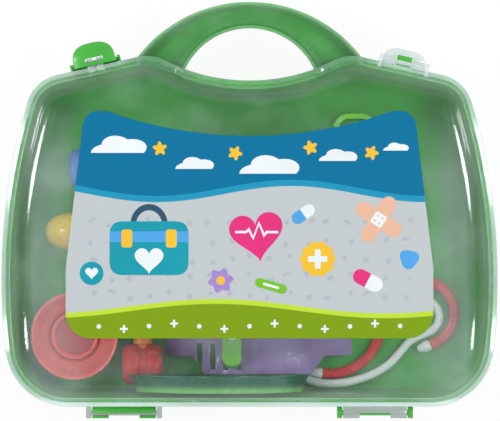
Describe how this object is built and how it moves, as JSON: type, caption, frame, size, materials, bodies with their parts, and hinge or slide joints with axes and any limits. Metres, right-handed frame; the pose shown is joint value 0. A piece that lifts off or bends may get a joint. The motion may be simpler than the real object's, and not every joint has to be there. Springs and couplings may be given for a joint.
{
  "type": "toy doctor case",
  "caption": "Toy doctor case: green tray and clear hinged lid with a carrying handle, snap latches and a child's set of medical play tools inside.",
  "frame": {"origin": "centre of the flat back of the tray, on the face that the case lies on, 98 mm above the bottom edge of the body", "axes": "+X to the right seen from the lid, +Y from the hinges towards the handle, +Z out of the lid, away from the face it lies on"},
  "size_m": [0.2804, 0.2358, 0.0903],
  "materials": {
    "green_plastic": "glossy",
    "clear_plastic": "glossy",
    "printed_label": "semi-gloss print",
    "coral_plastic": "glossy",
    "pale_coral_plastic": "glossy",
    "white_tube": "satin",
    "red_plastic": "glossy",
    "white_plastic": "glossy",
    "lilac_plastic": "glossy",
    "yellow_plastic": "glossy",
    "teal_plastic": "glossy",
    "orange_plastic": "glossy",
    "blue_plastic": "glossy",
    "navy_plastic": "glossy",
    "lime_plastic": "glossy"
  },
  "bodies": {
    "tray": {"back_shell": "green_plastic", "back_hinge_lugs": "green_plastic", "back_hinge_clip": "green_plastic", "back_latch_ears": "green_plastic", "back_catch": "green_plastic", "chest_piece": "coral_plastic", "chest_diaphragm": "pale_coral_plastic", "chest_ring": "coral_plastic", "stethoscope_tube": "white_tube", "stethoscope_yoke": "red_plastic", "ear_tube_left": "red_plastic", "ear_tube_right": "red_plastic", "ear_tips": "white_plastic", "arm_band": "lilac_plastic", "gauge_case": "yellow_plastic", "gauge_dial": "white_plastic", "gauge_needle": "red_plastic", "pump_bulb": "yellow_plastic", "pump_valve": "white_plastic", "kidney_dish": "teal_plastic", "hammer_head": "red_plastic", "hammer_handle": "orange_plastic", "otoscope_handle": "blue_plastic", "otoscope_head": "blue_plastic", "otoscope_cone": "navy_plastic", "thermometer": "lime_plastic", "thermometer_scale": "white_plastic", "syringe_barrel": "yellow_plastic", "glasses_frame": "lilac_plastic", "scissor_lower": "lime_plastic", "scissor_rivet": "white_plastic"},
    "lid": {"front_shell": "clear_plastic", "front_hinge_lugs": "clear_plastic", "front_hinge_clip": "clear_plastic", "front_latch_ears": "clear_plastic", "front_catch": "clear_plastic", "front_label": "printed_label"},
    "green_latch": {"green_latch": "green_plastic"},
    "clear_latch": {"clear_latch": "clear_plastic"},
    "plunger": {"syringe_plunger": "red_plastic"},
    "temple_left": {"temple_left": "lilac_plastic"},
    "temple_right": {"temple_right": "lilac_plastic"},
    "scissor_upper": {"scissor_upper": "lime_plastic"}
  },
  "joints": [
    {"name": "lid_hinge", "type": "hinge", "parent": "tray", "child": "lid", "pos_m": [0, -0.1015, 0.045], "axis": [1, 0, 0], "range_deg": [0, 179]},
    {"name": "green_latch_hinge", "type": "hinge", "parent": "tray", "child": "green_latch", "pos_m": [-0.08731, 0.09607, 0.037], "axis": [-0.9755, -0.2198, 0], "range_deg": [0, 110]},
    {"name": "clear_latch_hinge", "type": "hinge", "parent": "lid", "child": "clear_latch", "pos_m": [0.08731, 0.09607, 0.053], "axis": [0.9755, -0.2198, 0], "range_deg": [0, 110]},
    {"name": "plunger_slide", "type": "slide", "parent": "tray", "child": "plunger", "axis": [0, 1, 0], "range_m": [0, 0.022]},
    {"name": "temple_left_hinge", "type": "hinge", "parent": "tray", "child": "temple_left", "pos_m": [-0.046, 0.015, 0.0072], "axis": [0, -1, 0], "range_deg": [0, 90]},
    {"name": "temple_right_hinge", "type": "hinge", "parent": "tray", "child": "temple_right", "pos_m": [0.052, 0.015, 0.0072], "axis": [0, 1, 0], "range_deg": [0, 90]},
    {"name": "scissor_pivot", "type": "hinge", "parent": "tray", "child": "scissor_upper", "pos_m": [0.026, 0.05, 0.0068], "axis": [0, 0, 1], "range_deg": [0, 25]}
  ]
}
